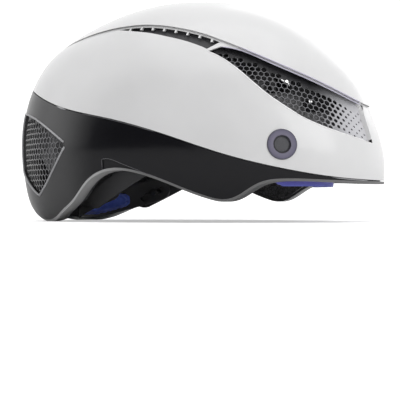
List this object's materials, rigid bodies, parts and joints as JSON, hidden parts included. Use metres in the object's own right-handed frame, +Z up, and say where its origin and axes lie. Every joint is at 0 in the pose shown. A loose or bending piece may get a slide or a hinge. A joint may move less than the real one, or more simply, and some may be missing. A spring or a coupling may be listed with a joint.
{
  "type": "aero time trial helmet",
  "caption": "Long-tailed road racing helmet with a gloss shell, honeycomb vents, round visor seats, foam liner, stowed chin straps and a dial-adjusted nape cradle.",
  "frame": {"origin": "middle of the helmet's length and width, at the level of the tail tips", "axes": "+X forward, +Y to the wearer's left, +Z up"},
  "size_m": [0.2893, 0.204, 0.171],
  "materials": {
    "shell_white": "gloss",
    "shell_black": "high gloss",
    "trim_grey": "satin",
    "mesh_grey": "satin",
    "insert_black": "matte",
    "foam_black": "matte, beaded foam",
    "pad_blue": "knitted cover",
    "pad_dark": "knitted cover",
    "webbing": "woven",
    "plastic_black": "satin",
    "seat_grey": "satin",
    "magnet_metal": "plated",
    "knob_grey": "satin",
    "lace_black": "braided"
  },
  "bodies": {
    "helmet": {"top_shell": "shell_white", "lower_shell": "shell_black", "rim_trim": "trim_grey", "eps_liner_right": "foam_black", "eps_liner_left": "foam_black", "vent_mesh_right": "mesh_grey", "vent_mesh_left": "mesh_grey", "rear_mesh_right": "mesh_grey", "rear_mesh_left": "mesh_grey", "slot_insert_right": "insert_black", "slot_insert_left": "insert_black", "visor_seat_right": "seat_grey", "visor_seat_left": "seat_grey", "visor_magnet_right": "magnet_metal", "visor_magnet_left": "magnet_metal", "brow_pad": "pad_blue", "rear_pad": "pad_dark", "side_pad_right": "pad_dark", "side_pad_left": "pad_dark", "crown_pad_front": "pad_dark", "crown_pad_rear": "pad_dark", "strap_anchors": "plastic_black", "side_strap_right": "webbing", "side_strap_left": "webbing", "strap_divider_right": "plastic_black", "strap_divider_left": "plastic_black", "chin_strap_right": "webbing", "chin_strap_left": "webbing", "buckle_female": "plastic_black", "fit_pivot_right": "plastic_black", "fit_pivot_left": "plastic_black"},
    "fit_arms": {"fit_arm_right": "plastic_black", "fit_arm_left": "plastic_black"},
    "cradle": {"nape_cradle": "plastic_black", "nape_pad": "pad_blue", "dial_housing": "plastic_black", "lace_right": "lace_black", "lace_left": "lace_black"},
    "dial": {"dial_knob": "knob_grey", "dial_spool": "plastic_black"},
    "buckle_tongue": {"buckle_male": "plastic_black"}
  },
  "joints": [
    {"name": "fit_swing", "type": "hinge", "parent": "helmet", "child": "fit_arms", "pos_m": [0.01, 0, 0.06], "axis": [0, 1, 0], "range_deg": [-6, 6]},
    {"name": "cradle_reach", "type": "slide", "parent": "fit_arms", "child": "cradle", "axis": [0.8703, 0, 0.4924], "range_m": [-0.004, 0.01], "deforming": ["lace_right", "lace_left"]},
    {"name": "dial_turn", "type": "hinge", "parent": "cradle", "child": "dial", "pos_m": [-0.108, 0, 0.013], "axis": [1, 0, 0], "range_deg": [-51, 127.4]},
    {"name": "buckle_release", "type": "slide", "parent": "helmet", "child": "buckle_tongue", "axis": [1, 0, 0], "range_m": [0, 0.014]}
  ],
  "couplings": [
    {"joint": "dial_turn", "follows": "cradle_reach", "rad_per_m": 222.22}
  ]
}
